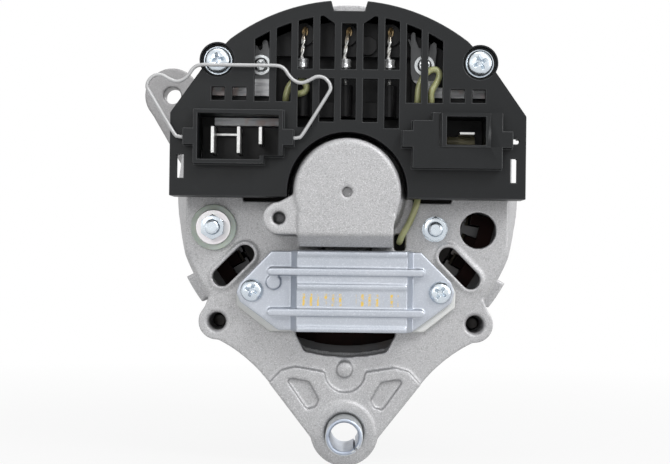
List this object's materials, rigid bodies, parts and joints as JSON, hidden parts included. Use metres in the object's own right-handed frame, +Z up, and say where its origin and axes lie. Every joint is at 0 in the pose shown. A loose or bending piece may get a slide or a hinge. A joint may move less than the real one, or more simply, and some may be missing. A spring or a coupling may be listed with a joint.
{
  "type": "engine alternator",
  "caption": "Belt-driven claw-pole alternator with external fan, rear rectifier cover with plug sockets, clip-on regulator and a single pivot foot.",
  "frame": {"origin": "on the shaft axis, in the middle plane of the belt groove", "axes": "+Y along the shaft towards the pulley nut, +Z up away from the pivot foot, +X to the right when seen from the rear"},
  "size_m": [0.1455, 0.1616, 0.1667],
  "materials": {
    "cast_aluminium": "die-cast, slightly rough, satin",
    "zinc_plated": "zinc plated",
    "blue_zinc": "bright bluish zinc",
    "lamination": "stacked sheet, bare edges",
    "enamelled_copper": "glossy enamel over copper",
    "insulation": "matte",
    "bearing_steel": "ground",
    "polished_steel": "polished",
    "brass_cage": "pressed",
    "rotor_iron": "forged, varnished",
    "dark_plastic": "matte",
    "brown_resin": "moulded resin",
    "ring_copper": "turned",
    "fan_steel": "zinc plated pressing",
    "pulley_steel": "pressed and turned",
    "carbon": "matte graphite",
    "pale_plastic": "satin",
    "regulator_metal": "pale silver, satin",
    "black_anodised": "black, satin",
    "tinned_copper": "tinned",
    "dull_tin": "dull",
    "lead_sleeving": "varnished glass sleeving",
    "cover_plastic": "glass-filled, satin",
    "spring_wire": "bright wire",
    "clear_nylon": "translucent"
  },
  "bodies": {
    "housing": {"rear_bracket": "cast_aluminium", "pivot_sleeve": "zinc_plated", "front_bracket": "cast_aluminium", "stator_core": "lamination", "winding_phase_a": "enamelled_copper", "winding_phase_b": "enamelled_copper", "winding_phase_c": "enamelled_copper", "slot_wedges": "insulation", "through_bolts": "zinc_plated", "front_bearing_outer": "bearing_steel", "bearing_retainer": "zinc_plated", "retainer_screws": "zinc_plated", "rear_bearing_outer": "bearing_steel", "brush_holder": "dark_plastic", "brush_spring_inner": "polished_steel", "brush_spring_outer": "polished_steel", "regulator_base": "pale_plastic", "regulator_body": "regulator_metal", "regulator_screws": "blue_zinc", "heatsink_negative": "black_anodised", "heatsink_positive": "black_anodised", "heatsink_spacers": "dark_plastic", "diodes": "bearing_steel", "diode_leads": "tinned_copper", "phase_terminals": "dull_tin", "terminal_screws": "zinc_plated", "bus_bar": "tinned_copper", "blade_carrier": "dark_plastic", "plug_blades": "tinned_copper", "sleeved_leads": "lead_sleeving", "rectifier_cover": "cover_plastic", "cover_screws": "blue_zinc", "terminal_studs": "blue_zinc", "terminal_insulator": "clear_nylon", "terminal_nuts": "blue_zinc"},
    "rotor": {"shaft": "bearing_steel", "claw_pole_front": "rotor_iron", "claw_pole_rear": "rotor_iron", "rotor_core": "rotor_iron", "coil_bobbin": "dark_plastic", "field_coil": "enamelled_copper", "slip_ring_sleeve": "brown_resin", "slip_rings": "ring_copper", "front_bearing_inner": "bearing_steel", "rear_bearing_inner": "bearing_steel", "bearing_collar": "zinc_plated", "fan": "fan_steel", "pulley_spacer": "zinc_plated", "pulley_rear_half": "pulley_steel", "pulley_front_half": "pulley_steel", "shaft_key": "bearing_steel", "lock_washer": "zinc_plated", "pulley_nut": "zinc_plated"},
    "front_ball_set": {"front_bearing_balls": "polished_steel", "front_bearing_cage": "brass_cage"},
    "rear_ball_set": {"rear_bearing_balls": "polished_steel", "rear_bearing_cage": "brass_cage"},
    "inner_brush": {"brush_inner": "carbon"},
    "outer_brush": {"brush_outer": "carbon"},
    "bail": {"plug_bail": "spring_wire"}
  },
  "joints": [
    {"name": "shaft_spin", "type": "hinge", "parent": "housing", "child": "rotor", "pos_m": [0, 0, 0], "axis": [0, 1, 0], "continuous": true},
    {"name": "front_balls_roll", "type": "hinge", "parent": "housing", "child": "front_ball_set", "pos_m": [0, -0.033, 0], "axis": [0, 1, 0], "continuous": true},
    {"name": "rear_balls_roll", "type": "hinge", "parent": "housing", "child": "rear_ball_set", "pos_m": [0, -0.1048, 0], "axis": [0, 1, 0], "continuous": true},
    {"name": "inner_brush_wear", "type": "slide", "parent": "housing", "child": "inner_brush", "axis": [0, 0, 1], "range_m": [-0.008, 0], "stiffness_N_per_m": 150, "springref_m": 0.018, "deforming": ["brush_spring_inner"]},
    {"name": "outer_brush_wear", "type": "slide", "parent": "housing", "child": "outer_brush", "axis": [0, 0, 1], "range_m": [-0.008, 0], "stiffness_N_per_m": 150, "springref_m": 0.018, "deforming": ["brush_spring_outer"]},
    {"name": "bail_swing", "type": "hinge", "parent": "housing", "child": "bail", "pos_m": [-0.0384, -0.1372, 0.0185], "axis": [1, 0, 0], "range_deg": [0, 115]}
  ],
  "couplings": [
    {"joint": "front_balls_roll", "follows": "shaft_spin", "ratio": 0.3877},
    {"joint": "rear_balls_roll", "follows": "shaft_spin", "ratio": 0.384}
  ]
}
